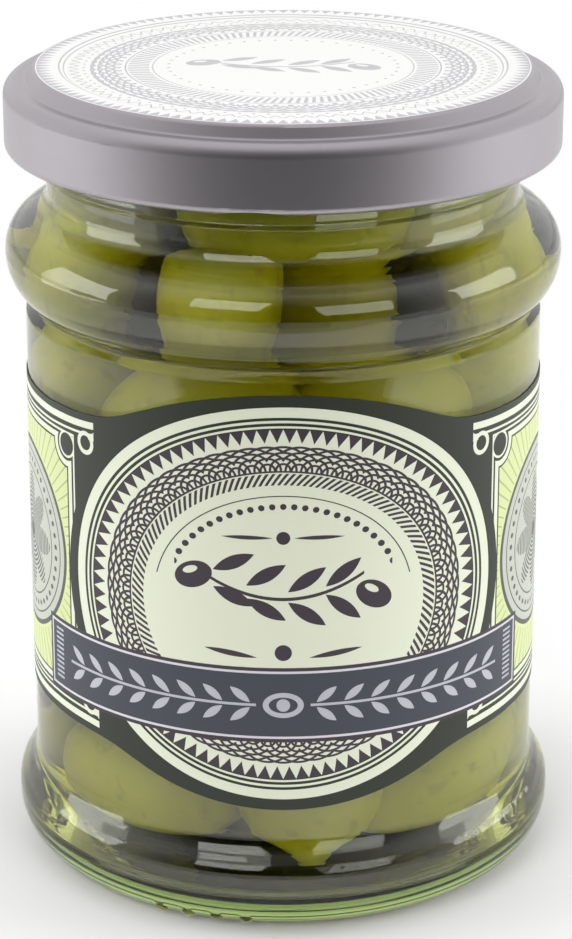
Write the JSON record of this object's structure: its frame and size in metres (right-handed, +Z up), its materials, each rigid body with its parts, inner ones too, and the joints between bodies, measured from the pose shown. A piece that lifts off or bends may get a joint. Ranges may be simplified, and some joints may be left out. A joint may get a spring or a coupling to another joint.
{
  "type": "jar of olives",
  "caption": "Squat glass jar of green olives in brine, with a twist-off metal lid and a paper label round its body.",
  "frame": {"origin": "middle of the foot, on the surface that the jar stands on", "axes": "+Z up the jar towards its lid, -Y out of the middle of the label, +X to the right of someone reading it"},
  "size_m": [0.067, 0.067, 0.0988],
  "materials": {
    "glass": "clear moulded glass with a faint green tint",
    "lid": "glossy silver lacquer with a white printed top",
    "brine": "yellow-green liquid",
    "label": "coated printed paper"
  },
  "bodies": {
    "root": {"jar": "glass", "lid": "lid", "brine": "brine", "label": "label"}
  },
  "joints": []
}
